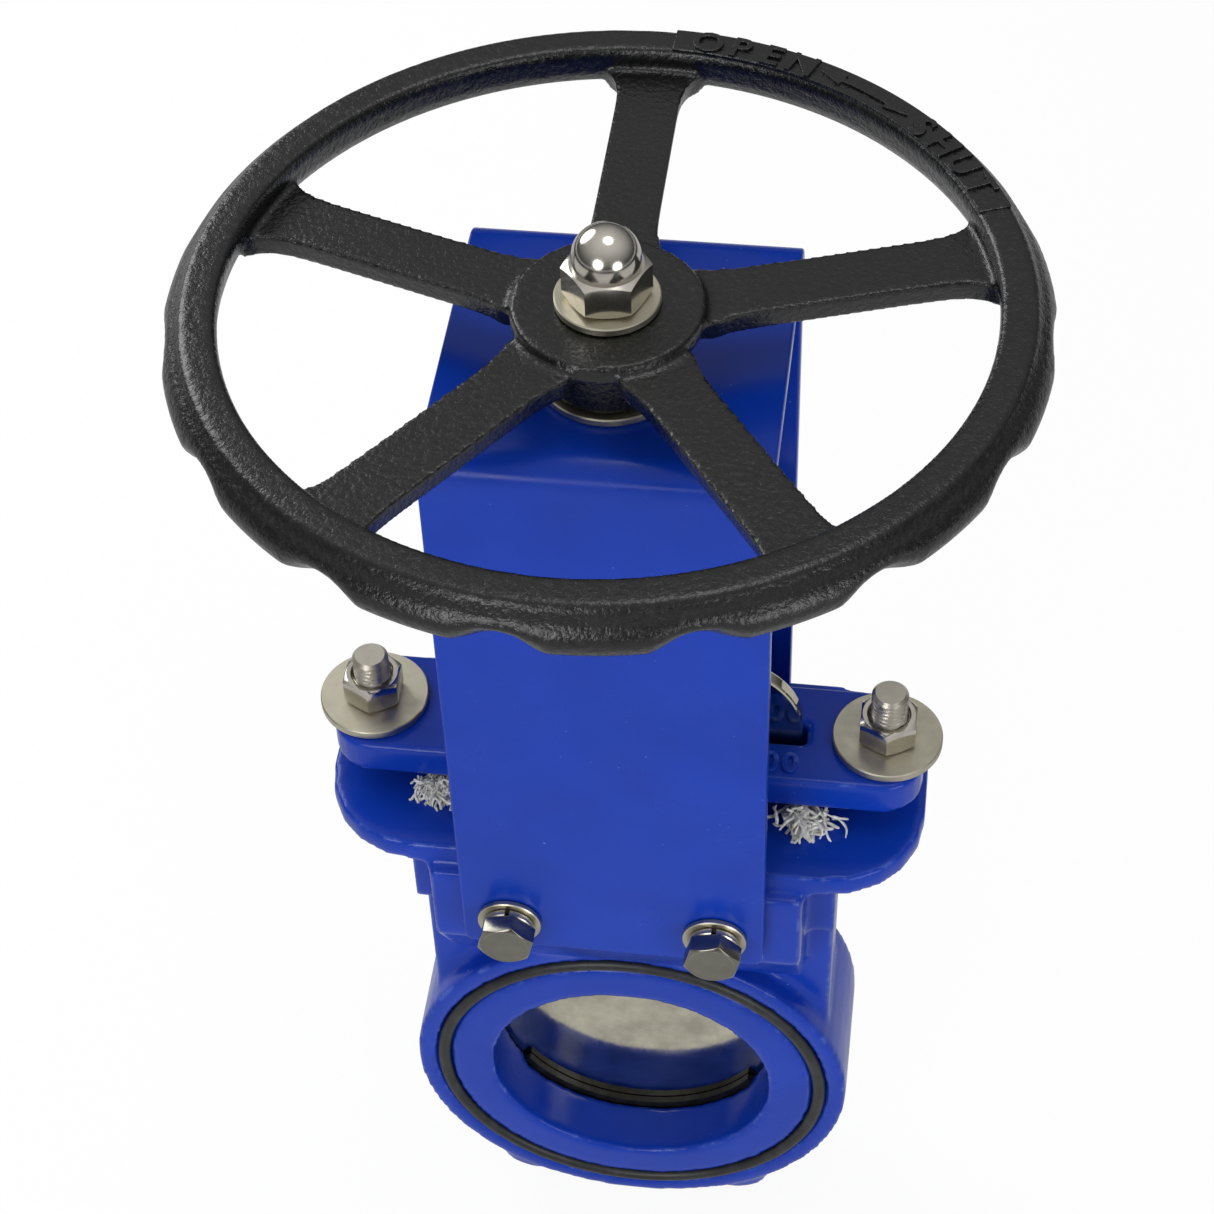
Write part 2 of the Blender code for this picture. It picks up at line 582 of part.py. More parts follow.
def make_stem_nut(brass, stainless, slide):
    """The brass block that climbs the stem, screwed to the front of the gate."""
    half_depth = (stem_nut_back - stem_nut_front) / 2
    middle = (stem_nut_back + stem_nut_front) / 2
    place = (0, middle, stem_nut_bottom)
    block = add_object("stem_nut", prism(rounded(STEM_NUT_HALF_WIDTH, half_depth, 0.003, 2),
                                         0, STEM_NUT_HEIGHT), brass, place, slide)
    cut(block, rod(STEM_RADIUS + 0.0004, -0.01, STEM_NUT_HEIGHT + 0.01, 24),
        (0, stem_y, stem_nut_bottom))
    head_y = stem_nut_front - FIT_GAP
    nut_y = GATE_THICKNESS / 2 + FIT_GAP
    for name, side in (("left", -1), ("right", 1)):
        axis_place = (side * NUT_SCREW_OFFSET, 0, nut_screw_z)
        cut(block, rod(NUT_SCREW_RADIUS + FIT_GAP, stem_nut_front - 0.01, stem_nut_back + 0.01,
                       16, "Y"), axis_place)
        screw = add_object(f"nut_screw_{name}",
                           prism(hexagon(NUT_SCREW_FLATS), head_y - NUT_SCREW_HEAD, head_y, "Y"),
                           stainless, axis_place, slide)
        join(screw, rod(NUT_SCREW_RADIUS, head_y - 0.002,
                        nut_y + NUT_SCREW_NUT + NUT_SCREW_PROUD, 16, "Y"), axis_place)
        nut = add_object(f"nut_screw_nut_{name}",
                         prism(hexagon(NUT_SCREW_FLATS), nut_y, nut_y + NUT_SCREW_NUT, "Y"),
                         stainless, axis_place, slide)
        cut(nut, rod(NUT_SCREW_RADIUS + FIT_GAP, nut_y - 0.01, nut_y + NUT_SCREW_NUT + 0.01,
                     16, "Y"), axis_place)


def add_axis(name, location):
    """An empty on a joint's axis, which the pieces that move on it hang from."""
    empty = bpy.data.objects.new(name, None)
    bpy.context.scene.collection.objects.link(empty)
    empty.location = location
    return empty


def main():
    for item in list(bpy.data.objects):
        bpy.data.objects.remove(item, do_unlink=True)
    finish = make_materials()
    wheel_axis = add_axis("wheel_axis", (0, stem_y, 0))
    gate_slide = add_axis("gate_slide", (0, 0, 0))
    make_valve_body(finish["blue_paint"])
    make_seat_seal(finish["rubber"])
    make_face_seals(finish["rubber"])
    make_packing(finish["packing"])
    make_gland(finish["blue_paint"])
    make_gland_fasteners(finish["stainless"])
    make_yoke(finish["blue_paint"])
    make_yoke_bolts(finish["stainless"])
    make_bush_and_thrust_washer(finish["brass"], finish["stainless"])
    make_stem(finish["stainless"], wheel_axis)
    make_key(finish["stainless"], wheel_axis)
    make_handwheel(finish["black_iron"], wheel_axis)
    make_wheel_fasteners(finish["stainless"], wheel_axis)
    make_gate(finish["gate_steel"], gate_slide)
    make_stem_nut(finish["brass"], finish["stainless"], gate_slide)


main()
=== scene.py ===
"""Looks of a wafer knife gate valve: castings, bent plate, wheel, threads, lettering and finishes."""
import math
import random

import bmesh
import bpy
from bpy.props import FloatProperty, IntProperty, PointerProperty, StringProperty
from mathutils import Matrix, Vector


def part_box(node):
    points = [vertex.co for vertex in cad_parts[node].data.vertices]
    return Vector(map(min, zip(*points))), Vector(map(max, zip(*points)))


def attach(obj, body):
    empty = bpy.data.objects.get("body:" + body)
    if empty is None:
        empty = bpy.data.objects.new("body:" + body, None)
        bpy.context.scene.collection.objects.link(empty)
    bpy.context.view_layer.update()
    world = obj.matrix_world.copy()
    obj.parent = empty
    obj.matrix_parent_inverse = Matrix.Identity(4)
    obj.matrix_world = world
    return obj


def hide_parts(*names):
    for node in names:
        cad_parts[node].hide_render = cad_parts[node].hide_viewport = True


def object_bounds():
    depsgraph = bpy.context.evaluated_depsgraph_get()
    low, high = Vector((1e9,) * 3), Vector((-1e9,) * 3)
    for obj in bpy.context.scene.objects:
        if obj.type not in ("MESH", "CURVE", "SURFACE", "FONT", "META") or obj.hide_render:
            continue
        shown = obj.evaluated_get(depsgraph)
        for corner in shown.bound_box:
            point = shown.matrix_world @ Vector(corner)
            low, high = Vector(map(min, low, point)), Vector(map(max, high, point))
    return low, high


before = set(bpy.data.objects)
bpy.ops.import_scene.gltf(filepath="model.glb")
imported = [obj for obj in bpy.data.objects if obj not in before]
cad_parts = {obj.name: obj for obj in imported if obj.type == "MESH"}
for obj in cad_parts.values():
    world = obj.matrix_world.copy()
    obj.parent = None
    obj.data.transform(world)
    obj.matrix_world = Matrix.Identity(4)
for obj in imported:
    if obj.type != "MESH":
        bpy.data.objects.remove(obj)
CAD_BOX = [list(corner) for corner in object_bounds()]

bl_info = {
    "name": "Knife Gate Valve",
    "version": (1, 0, 0),
    "blender": (4, 5, 0),
    "location": "View3D > Sidebar > Valve",
    "description": "Builds the finished surfaces of a knife gate valve",
    "category": "Object",
}

MM = 0.001
VALVE, WHEEL, KNIFE = "valve", "wheel", "knife"
SIDES = (("left", -1), ("right", 1))
FACES = (("front", -1), ("rear", 1))
WHEEL_LOW, WHEEL_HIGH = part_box("handwheel")
STEM_X = (WHEEL_LOW.x + WHEEL_HIGH.x) / 2
STEM_Y = (WHEEL_LOW.y + WHEEL_HIGH.y) / 2
WHEEL_RADIUS = (WHEEL_HIGH.x - WHEEL_LOW.x) / 2
RIM_TOP = WHEEL_HIGH.z
HUB_BOTTOM = WHEEL_LOW.z
HUB_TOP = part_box("wheel_washer")[0].z - 0.3 * MM


class ValveSettings(bpy.types.PropertyGroup):
    """Sizes and colours of the finish."""
    paint: StringProperty(name="Paint", description="Enamel colour as sRGB hex", default="#0C39AC")
    wheel_paint: StringProperty(name="Wheel paint", description="Wheel colour as sRGB hex",
                                default="#0D0F0D")
    cast_voxel: FloatProperty(name="Cast detail", description="Grid of the rounded casting",
                              default=1.6 * MM, unit="LENGTH", precision=4)
    wheel_voxel: FloatProperty(name="Wheel detail", description="Grid of the cast wheel",
                               default=1.05 * MM, unit="LENGTH", precision=4)
    edge: FloatProperty(name="Edge", description="Rounding of cut plate edges",
                        default=0.8 * MM, unit="LENGTH", precision=4)
    grips: IntProperty(name="Finger grips", description="Scallops under the rim", default=15)
    letter_height: FloatProperty(name="Letter height", description="Height of the raised letters",
                                 default=8.6 * MM, unit="LENGTH", precision=4)
    fibres: IntProperty(name="Loose fibres", description="Frayed strands at each packing end",
                        default=150)


# ---- materials ----------------------------------------------------------
def colour(code, alpha=1.0):
    """sRGB hex to linear colour."""
    parts = [int(code[k:k + 2], 16) / 255 for k in (1, 3, 5)]
    return [c / 12.92 if c <= 0.04045 else ((c + 0.055) / 1.055) ** 2.4 for c in parts] + [alpha]


def per(size_mm):
    """Scale of a pattern whose features are this many millimetres across."""
    return 1000.0 / size_mm


def add(tree, kind, links=None, **settings):
    """Add a node: settings go on the node, links hold socket values or source sockets."""
    made = tree.nodes.new("ShaderNode" + kind)
    for key, value in settings.items():
        setattr(made, key, value)
    for key, value in (links or {}).items():
        if isinstance(value, bpy.types.NodeSocket):
            tree.links.new(value, made.inputs[key])
        else:
            made.inputs[key].default_value = value
    return made


def start(name, **sockets):
    """A new material with its Principled shader's own values set; returns tree, shader, place."""
    made = bpy.data.materials.new(name)
    made.use_nodes = True
    tree = made.node_tree
    shader = tree.nodes["Principled BSDF"]
    for key, value in sockets.items():
        shader.inputs[key.replace("_", " ")].default_value = value
    place = add(tree, "TexCoord").outputs["Object"]
    return made, tree, shader, place


def noise(tree, place, size_mm, detail=2.0, rough=0.5):
    return add(tree, "TexNoise", {"Vector": place, "Scale": per(size_mm), "Detail": detail,
                                  "Roughness": rough}).outputs["Fac"]


def spread(tree, value, low, high, to_low=0.0, to_high=1.0):
    """Stretch a value's range from low..high to to_low..to_high, clamped."""
    return add(tree, "MapRange", {"Value": value, "From Min": low, "From Max": high,
                                  "To Min": to_low, "To Max": to_high}).outputs["Result"]


def blend_colours(tree, factor, first, second):
    mixed = add(tree, "Mix", {0: factor, 6: first, 7: second}, data_type="RGBA")
    return mixed.outputs[2]


def bumps(tree, shader, layers):
    """Stack bumps given as (height, strength, depth in mm)."""
    normal = None
    for height, strength, depth in layers:
        links = {"Height": height, "Strength": strength, "Distance": depth * MM}
        if normal is not None:
            links["Normal"] = normal
        normal = add(tree, "Bump", links).outputs["Normal"]
    tree.links.new(normal, shader.inputs["Normal"])


def enamel(name, code, grain=0.0):
    """Brushed-on alkyd enamel: glossy, with orange peel; with grain set, paler over arrises, partly
    thin worn paint and partly a painted highlight.
    """
    made, tree, shader, place = start(name, Roughness=0.2, IOR=1.45, Specular_IOR_Level=0.30)
    base = colour(code)
    cloud = spread(tree, noise(tree, place, 38, 3), 0.35, 0.65)
    deep = blend_colours(tree, cloud, [c * 0.86 for c in base[:3]] + [1], base)
    dust = spread(tree, noise(tree, place, 1.3, 1), 0.80, 0.84)
    dust_and_edge_highlight = blend_colours(tree, dust, deep, colour("#6F8AD0"))
    if grain:
        # Paler colour over the arrises, found by pointiness: edge wear, and also a painted highlight
        # along the edges.
        arris = spread(tree, add(tree, "NewGeometry").outputs["Pointiness"], 0.525, 0.60)
        patchy = spread(tree, noise(tree, place, 9, 3, 0.6), 0.50, 0.62)
        bare_and_highlit_edges = add(tree, "Math", {0: arris, 1: patchy}, operation="MULTIPLY").outputs[0]
        dust_and_edge_highlight = blend_colours(tree, bare_and_highlit_edges, dust_and_edge_highlight, colour("#7C95D6"))
    tree.links.new(dust_and_edge_highlight, shader.inputs["Base Color"])
    tree.links.new(spread(tree, noise(tree, place, 22, 2), 0.3, 0.7, 0.15, 0.30),
                   shader.inputs["Roughness"])
    layers = [(noise(tree, place, 4.5, 2), 0.22, 0.10), (noise(tree, place, 16, 1), 0.30, 0.30)]
    if grain:
        layers.append((noise(tree, place, 0.9, 3, 0.6), grain, 0.12))
    bumps(tree, shader, layers)
    return made


def black_casting(name, code):
    """Sand-cast iron under thin satin black: sand grain of about 1 mm shows through."""
    made, tree, shader, place = start(name, Roughness=0.36, IOR=1.5)
    grain = noise(tree, place, 1.7, 3, 0.62)
    base = colour(code)
    lit = blend_colours(tree, spread(tree, grain, 0.52, 0.75), base, colour("#1E211E"))
    dry = blend_colours(tree, spread(tree, noise(tree, place, 45, 3), 0.42, 0.68), base, lit)
    tree.links.new(dry, shader.inputs["Base Color"])
    tree.links.new(spread(tree, grain, 0.35, 0.7, 0.15, 0.36), shader.inputs["Roughness"])
    bumps(tree, shader, [(grain, 0.9, 0.40), (noise(tree, place, 6, 2), 0.35, 0.40)])
    return made


def stainless(name, code="#C4BFB2", rough=0.22, ring_axis=None, ring_mm=0.35):
    """Rolled or turned stainless steel, warm grey, with faint drawn lines and handling marks."""
    made, tree, shader, place = start(name, Metallic=1.0, Roughness=rough)
    patch = spread(tree, noise(tree, place, 7, 3), 0.3, 0.7)
    tone = blend_colours(tree, patch, colour(code), [c * 0.82 for c in colour(code)[:3]] + [1])
    tree.links.new(tone, shader.inputs["Base Color"])
    tree.links.new(spread(tree, patch, 0, 1, rough * 0.8, rough * 1.5), shader.inputs["Roughness"])
    stretch = {"X": (0.08, 1, 1), "Y": (1, 0.08, 1), "Z": (1, 1, 0.08), None: (1, 1, 1)}[ring_axis]
    drawn = add(tree, "Mapping", {"Vector": place, "Scale": stretch}).outputs["Vector"]
    bumps(tree, shader, [(noise(tree, drawn, ring_mm, 2), 0.10, 0.02),
                         (noise(tree, place, 3, 2), 0.10, 0.05)])
    return made


def ground_gate(name):
    """Cold-rolled stainless plate, ground across: mottled beige grey, fine upright lines."""
    made, tree, shader, place = start(name, Metallic=1.0, Roughness=0.2)
    lines = add(tree, "Mapping", {"Vector": place, "Scale": (1, 1, 0.05)}).outputs["Vector"]
    scratch = noise(tree, lines, 0.5, 3, 0.7)
    stain = spread(tree, noise(tree, place, 14, 4, 0.6), 0.38, 0.66)
    tone = blend_colours(tree, stain, colour("#D2CDB9"), colour("#B0AC9C"))
    tree.links.new(tone, shader.inputs["Base Color"])
    tree.links.new(spread(tree, scratch, 0.3, 0.7, 0.05, 0.13), shader.inputs["Roughness"])
    bumps(tree, shader, [(scratch, 0.06, 0.01), (noise(tree, place, 6, 2), 0.05, 0.03)])
    return made


def brass(name):
    """Machined brass with a dull bloom."""
    made, tree, shader, place = start(name, Metallic=1.0, Roughness=0.30)
    bloom = spread(tree, noise(tree, place, 6, 4), 0.4, 0.7)
    tone = blend_colours(tree, bloom, colour("#D9B461"), colour("#A8823F"))
    tree.links.new(tone, shader.inputs["Base Color"])
    bumps(tree, shader, [(noise(tree, place, 0.5, 2), 0.12, 0.03)])
    return made


def rubber(name):
    """Moulded nitrile rubber: near black, soft sheen, fine bloom."""
    made, tree, shader, place = start(name, Roughness=0.42, IOR=1.52)
    bloom = spread(tree, noise(tree, place, 5, 3), 0.45, 0.75)
    tone = blend_colours(tree, bloom, colour("#101112"), colour("#26282A"))
    tree.links.new(tone, shader.inputs["Base Color"])
    bumps(tree, shader, [(noise(tree, place, 0.8, 2), 0.15, 0.05)])
    return made


def fibre(name):
    """Plaited white packing, soaked in dressing; grey noise patches are painted shade standing for
    its folds. Yarn 1.2 mm across.
    """
    made, tree, shader, place = start(name, Roughness=0.85, Sheen_Weight=0.3)
    yarn = add(tree, "TexWave", {"Vector": place, "Scale": per(1.2) / 6.28, "Distortion": 4.0,
                                 "Detail": 2.0}, bands_direction="DIAGONAL").outputs["Fac"]
    # Grey to white by 3 mm noise: painted shade for the folds of the plait.
    tone = blend_colours(tree, spread(tree, noise(tree, place, 3, 3), 0.35, 0.6),
                         colour("#C4C4BC"), colour("#F6F5EE"))
    tree.links.new(tone, shader.inputs["Base Color"])
    bumps(tree, shader, [(yarn, 0.6, 0.4), (noise(tree, place, 0.7, 3), 0.5, 0.2)])
    return made


MATERIALS = {}


def make_finishes(settings):
    MATERIALS.update({
        "cast_enamel": enamel("cast_iron_blue_enamel", settings.paint, grain=0.25),
        "plate_enamel": enamel("steel_plate_blue_enamel", settings.paint),
        "black_iron": black_casting("sand_cast_iron_black", settings.wheel_paint),
        "stainless": stainless("turned_stainless_steel", rough=0.30),
        "polished": stainless("polished_stainless_steel", "#D2CDC3", 0.14),
        "bolt": stainless("cold_headed_stainless_bolt", "#8A887E", 0.2),
        "washer": stainless("rolled_stainless_washer", "#C8C3B0", 0.36, "X", 0.5),
        "gate": ground_gate("ground_stainless_gate"),
        "brass": brass("machined_brass"),
        "rubber": rubber("nitrile_rubber"),
        "fibre": fibre("plaited_packing"),
    })


# ---- modelling helpers --------------------------------------------------
def deselect():
    bpy.ops.object.select_all(action="DESELECT")


def activate(piece):
    deselect()
    piece.select_set(True)
    bpy.context.view_layer.objects.active = piece


def new_mesh(name, verts, edges=(), faces=()):
    mesh = bpy.data.meshes.new(name)
    mesh.from_pydata(verts, edges, faces)
    piece = bpy.data.objects.new(name, mesh)
    bpy.context.scene.collection.objects.link(piece)
    activate(piece)
    return piece


def tidy_mesh(piece, merge=0.00001):
    """Merge doubles and turn every face outwards."""
    activate(piece)
    bpy.ops.object.mode_set(mode="EDIT")
    bpy.ops.mesh.select_all(action="SELECT")
    bpy.ops.mesh.remove_doubles(threshold=merge)
    bpy.ops.mesh.normals_make_consistent(inside=False)
    bpy.ops.object.mode_set(mode="OBJECT")


def modify(piece, kind, **settings):
    """Add one modifier and apply it."""
    activate(piece)
    step = piece.modifiers.new(kind.lower(), kind)
    for key, value in settings.items():
        setattr(step, key, value)
    bpy.ops.object.modifier_apply(modifier=step.name)


def soften(piece, width, angle=35, segments=2):
    modify(piece, "BEVEL", width=width, segments=segments, limit_method="ANGLE",
           angle_limit=math.radians(angle), use_clamp_overlap=True)


def cut_away(piece, cutter, operation="DIFFERENCE"):
    modify(piece, "BOOLEAN", object=cutter, operation=operation, solver="EXACT")
    bpy.data.objects.remove(cutter, do_unlink=True)


def turned(name, profile, steps=64, centre=(0, 0), closed=False):
    """Spin a profile of (radius, height) about an upright axis through centre."""
    verts = [(centre[0] + r, centre[1], z) for r, z in profile]
    edges = [(k, k + 1) for k in range(len(verts) - 1)]
    if closed:
        edges.append((len(verts) - 1, 0))
    piece = new_mesh(name, verts, edges)
    bpy.ops.object.mode_set(mode="EDIT")
    bpy.ops.mesh.select_all(action="SELECT")
    bpy.ops.mesh.spin(steps=steps, angle=2 * math.pi, center=(centre[0], centre[1], 0),
                      axis=(0, 0, 1))
    bpy.ops.object.mode_set(mode="OBJECT")
    tidy_mesh(piece)
    return piece


def slab(name, outline, low, high, along="Z"):
    """Fill an outline and extrude it: (x, y) along Z, (x, z) along Y or (y, z) along X."""
    pick = {"Z": lambda u, v, w: (u, v, w), "Y": lambda u, v, w: (u, w, v),
            "X": lambda u, v, w: (w, u, v)}[along]
    count = len(outline)
    piece = new_mesh(name, [pick(u, v, low) for u, v in outline], faces=[range(count)])
    bpy.ops.object.mode_set(mode="EDIT")
    bpy.ops.mesh.select_all(action="SELECT")
    bpy.ops.mesh.extrude_region_move(
        TRANSFORM_OT_translate={"value": pick(0, 0, high - low)})
    bpy.ops.object.mode_set(mode="OBJECT")
    tidy_mesh(piece)
    return piece


def lay_along_y(piece, centre, direction):
    """Turn a piece built upright at the origin so that it points along Y, and move it there."""
    turn = Matrix.Rotation(math.radians(-90 * direction), 4, "X")
    piece.data.transform(Matrix.Translation(centre) @ turn)


def polar(radius, degrees, height=0.0):
    angle = math.radians(degrees)
    return Vector((STEM_X + radius * math.cos(angle), STEM_Y + radius * math.sin(angle), height))


def arc(cx, cy, radius, first, last, steps):
    return [(cx + radius * math.cos(math.radians(first + (last - first) * k / steps)),
             cy + radius * math.sin(math.radians(first + (last - first) * k / steps)))
            for k in range(steps + 1)]


def dress(piece, body, slot, finish, *nodes, angle=20):
    """Smooth a finished piece, give it its finish and hang it on its body."""
    piece.data.materials.clear()
    piece.data.materials.append(MATERIALS[finish])
    activate(piece)
    bpy.ops.object.shade_smooth_by_angle(angle=math.radians(angle))
    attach(piece, body)
    if nodes:
        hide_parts(*nodes)
    return piece


def join_all(pieces, name):
    deselect()
    for piece in pieces:
        piece.select_set(True)
    bpy.context.view_layer.objects.active = pieces[0]
    bpy.ops.object.join()
    pieces[0].name = name
    return pieces[0]


def text_mesh(letter, height, lift, place):
    """A raised cast character, centred on its foot and laid by the matrix place."""
    deselect()
    bpy.ops.object.text_add(location=(0, 0, 0))
    text = bpy.context.object
    text.data.body = letter
    text.data.size = height * 1.40
    text.data.align_x = "CENTER"
    text.data.extrude = lift / 2
    text.data.bevel_depth = 0.18 * MM
    text.data.bevel_resolution = 1
    text.data.resolution_u = 4
    text.data.offset = 0.12 * MM
    bpy.ops.object.convert(target="MESH")
    piece = bpy.context.object
    piece.data.transform(place)
    piece.matrix_world = Matrix.Identity(4)
    tidy_mesh(piece, 0.000002)
    return piece


# ---- castings -----------------------------------------------------------
def cast_from(node, name, voxel, rounds):
    """Copy a CAD solid, and round its edges and inner corners as a sand casting's are."""
    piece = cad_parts[node].copy()
    piece.data = piece.data.copy()
    piece.name = name
    bpy.context.scene.collection.objects.link(piece)
    piece.parent = None
    piece.hide_render = False
    tidy_mesh(piece, 0.000002)
    modify(piece, "REMESH", mode="VOXEL", voxel_size=voxel, adaptivity=0.0)
    modify(piece, "SMOOTH", factor=0.5, iterations=rounds)
    return piece


def build_body(settings):
    body = cast_from("valve_body", "body_casting", settings.cast_voxel, 6)
    dress(body, VALVE, "blue_paint", "cast_enamel", "valve_body", angle=60)


def build_gland(settings):
    gland = cast_from("gland", "gland_casting", settings.wheel_voxel, 4)
    dress(gland, VALVE, "blue_paint", "cast_enamel", "gland", angle=60)
    lift = 0.9 * MM
    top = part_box("gland")[1].z - 0.2 * MM
    figures = [text_mesh(figure, 8.0 * MM, lift,
                         Matrix.Translation((48 * MM + 6.4 * MM * (place - 1), -17 * MM,
                                             top + lift / 2)))
               for place, figure in enumerate("100")]
    mark = join_all(figures, "nominal_bore_figures")
    dress(mark, VALVE, "blue_paint", "cast_enamel")


# ---- plate work ---------------------------------------------------------
def build_yoke(settings):
    low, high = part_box("yoke")
    plate, bend = 6 * MM, 9 * MM
    side = [(low.y, low.z)]
    side += arc(low.y + bend, high.z - bend, bend, 180, 90, 10)
    side += arc(high.y - bend, high.z - bend, bend, 90, 0, 10)
    side += [(high.y, low.z), (high.y - plate, low.z)]
    inner = bend - plate
    side += arc(high.y - bend, high.z - bend, inner, 0, 90, 6)
    side += arc(low.y + bend, high.z - bend, inner, 90, 180, 6)
    side += [(low.y + plate, low.z)]
    yoke = slab("yoke_plate", side, low.x, high.x, "X")
    tip = bmesh.new()
    tip.from_mesh(yoke.data)
    corners = [e for e in tip.edges if all(abs(v.co.z - low.z) < 1e-6 for v in e.verts)
               and abs(e.verts[0].co.x - e.verts[1].co.x) < 1e-6]
    bmesh.ops.bevel(tip, geom=corners, offset=3.5 * MM, segments=5, affect="EDGES", profile=0.5)
    tip.to_mesh(yoke.data)
    tip.free()
    bush_low, bush_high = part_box("stem_bush")
    hole = (bush_high.x - bush_low.x) / 2 - 3.2 * MM
    cut_away(yoke, turned("bush_hole", [(0, high.z - 0.02), (hole, high.z - 0.02),
                                        (hole, high.z + 0.01), (0, high.z + 0.01)],
                          48, (STEM_X, STEM_Y)))
    soften(yoke, settings.edge, 40)
    dress(yoke, VALVE, "blue_paint", "plate_enamel", "yoke")


def build_gate(settings):
    low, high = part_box("gate")
    half, corner = high.x, 28 * MM
    outline = arc(0, 0, half, 180, 360, 72)
    outline += arc(half - corner, high.z - corner, corner, 0, 90, 16)
    outline += arc(corner - half, high.z - corner, corner, 90, 180, 16)
    gate = slab("gate_plate", outline, low.y, high.y, "Y")
    soften(gate, settings.edge, 50)
    dress(gate, KNIFE, "gate_steel", "gate", "gate")


# ---- handwheel ----------------------------------------------------------
def rim_section():
    """The rim's section as (radius, height): flat crown, bulged outer wall, drawn-in bore."""
    outer, crown = WHEEL_RADIUS, RIM_TOP
    return [(outer - 16.5 * MM, crown - 3.2 * MM), (outer - 15.8 * MM, crown - 0.6 * MM),
            (outer - 15.0 * MM, crown), (outer - 6.2 * MM, crown),
            (outer - 5.6 * MM, crown - 1.7 * MM), (outer - 2.4 * MM, crown - 4.2 * MM),
            (outer - 0.5 * MM, crown - 7.0 * MM), (outer, crown - 9.6 * MM),
            (outer - 0.8 * MM, crown - 12.8 * MM), (outer - 3.0 * MM, crown - 15.6 * MM),
            (outer - 6.2 * MM, crown - 16.5 * MM), (outer - 10.0 * MM, crown - 15.8 * MM),
            (outer - 13.0 * MM, crown - 13.6 * MM), (outer - 15.2 * MM, crown - 9.6 * MM)]


def scallop(piece, grips):
    """Press finger grips into the rim's lower outer edge."""
    for vert in piece.data.vertices:
        out = vert.co - Vector((STEM_X, STEM_Y, vert.co.z))
        below = (RIM_TOP - 5.5 * MM - vert.co.z) / (11 * MM)
        if below <= 0 or out.length < WHEEL_RADIUS - 9 * MM:
            continue
        angle = math.atan2(out.y, out.x)
        wave = max(0.0, math.cos(grips * angle)) ** 1.4
        depth = 3.9 * MM * wave * min(1.0, below * 1.6)
        vert.co -= out.normalized() * depth
        vert.co.z += depth * 0.55


def spoke_outline(width, root, tip):
    """Half-width along a spoke, which flares into the hub and the rim."""
    near, far, steps = [], [], 24
    for step in range(steps + 1):
        along = root + (tip - root) * step / steps
        flare = 7.5 * MM * math.exp(-(tip - along) / (4.5 * MM))
        flare += 3.0 * MM * math.exp(-abs(along - 27 * MM) / (4 * MM))
        near.append((along, -width / 2 - flare))
        far.append((along, width / 2 + flare))
    return near + far[::-1]


def build_handwheel(settings):
    centre = (STEM_X, STEM_Y)
    rim = turned("rim", rim_section(), 240, centre, closed=True)
    scallop(rim, settings.grips)
    hub_r, barrel = 27.4 * MM, 18.8 * MM
    hub = turned("hub", [(0, HUB_BOTTOM), (barrel, HUB_BOTTOM), (barrel, HUB_TOP - 11 * MM),
                         (barrel + 3 * MM, HUB_TOP - 8 * MM),
                         (hub_r - 0.5 * MM, HUB_TOP - 6.5 * MM),
                         (hub_r, HUB_TOP - 5.5 * MM), (hub_r, HUB_TOP - 0.3 * MM),
                         (hub_r - 0.4 * MM, HUB_TOP), (0, HUB_TOP)], 96, centre)
    parts = [rim, hub]
    top = HUB_TOP - 3.0 * MM
    for number in range(5):
        spoke = slab("spoke", spoke_outline(19.4 * MM, 12 * MM, WHEEL_RADIUS - 14.5 * MM),
                     top - 8.0 * MM, top)
        for vert in spoke.data.vertices:
            if vert.co.z < top - 4 * MM:
                vert.co.y *= 0.84
        turn = Matrix.Rotation(math.radians(90 + 72 * number), 4, "Z")
        spoke.data.transform(Matrix.Translation((STEM_X, STEM_Y, 0)) @ turn)
        tidy_mesh(spoke)
        parts.append(spoke)
    wheel = join_all(parts, "wheel_casting")
    modify(wheel, "REMESH", mode="VOXEL", voxel_size=settings.wheel_voxel, adaptivity=0.0)
    modify(wheel, "SMOOTH", factor=0.5, iterations=3)
    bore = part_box("stem")[1].z
    cut_away(wheel, turned("bore", [(0, HUB_BOTTOM - 0.01), (8.3 * MM, HUB_BOTTOM - 0.01),
                                    (8.3 * MM, bore + 0.01), (0, bore + 0.01)], 32, centre))
    dress(wheel, WHEEL, "black_iron", "black_iron", "handwheel", angle=60)


def arc_slab(name, inner, outer, first, last, low, high, steps=40):
    outline = arc(STEM_X, STEM_Y, outer, last, first, steps)
    outline += arc(STEM_X, STEM_Y, inner, first, last, steps)
    return slab(name, outline[::-1], low, high)


def raised_letter(letter, degrees, radius, height, low, lift):
    """One cast letter, its foot towards the hub, standing on the rim's crown."""
    stand = Matrix.Translation(polar(radius - height / 2, degrees, low + lift / 2))
    turn = Matrix.Rotation(math.radians(degrees - 90), 4, "Z")
    return text_mesh(letter, height, lift, stand @ turn)


